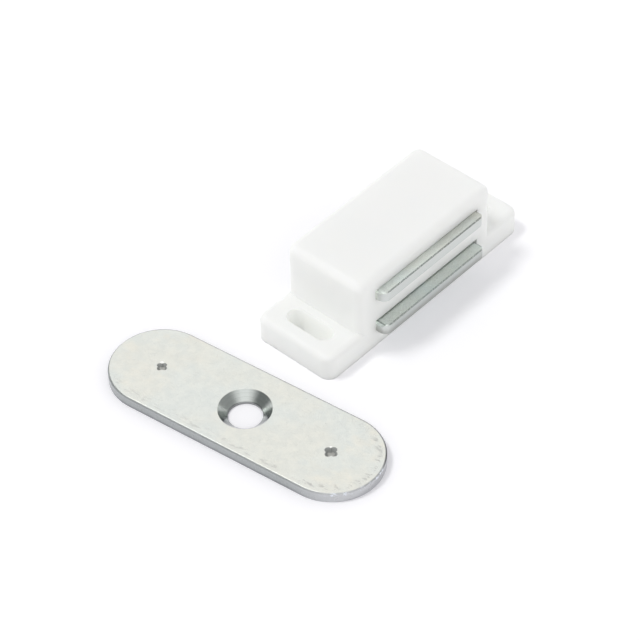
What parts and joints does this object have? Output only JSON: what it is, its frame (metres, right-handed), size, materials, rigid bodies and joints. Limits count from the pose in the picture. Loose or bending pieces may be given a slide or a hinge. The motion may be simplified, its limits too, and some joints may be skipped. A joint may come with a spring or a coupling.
{
  "type": "magnetic catch",
  "caption": "Magnetic cabinet catch: a white eared housing with steel pole plates gripping a magnet, and a round-ended steel strike plate.",
  "frame": {"origin": "centre of the housing's mounting face, on the surface that both pieces lie on", "axes": "+Z away from the mounting face, +X from ear to ear, pole plates looking along -Y"},
  "size_m": [0.0745, 0.0516, 0.0154],
  "materials": {
    "white_plastic": "satin",
    "ferrite": "matt, pressed and sintered",
    "zinc_plated_steel": "zinc plated, lightly scuffed"
  },
  "bodies": {
    "housing": {"housing": "white_plastic", "magnet": "ferrite", "strike_plate": "zinc_plated_steel"},
    "lower_pole": {"lower_pole_plate": "zinc_plated_steel"},
    "upper_pole": {"upper_pole_plate": "zinc_plated_steel"}
  },
  "joints": [
    {"name": "lower_pole_float", "type": "slide", "parent": "housing", "child": "lower_pole", "axis": [0, -1, 0], "range_m": [-0.0007, 0.0001]},
    {"name": "upper_pole_float", "type": "slide", "parent": "housing", "child": "upper_pole", "axis": [0, -1, 0], "range_m": [-0.0002, 0.0006]}
  ]
}
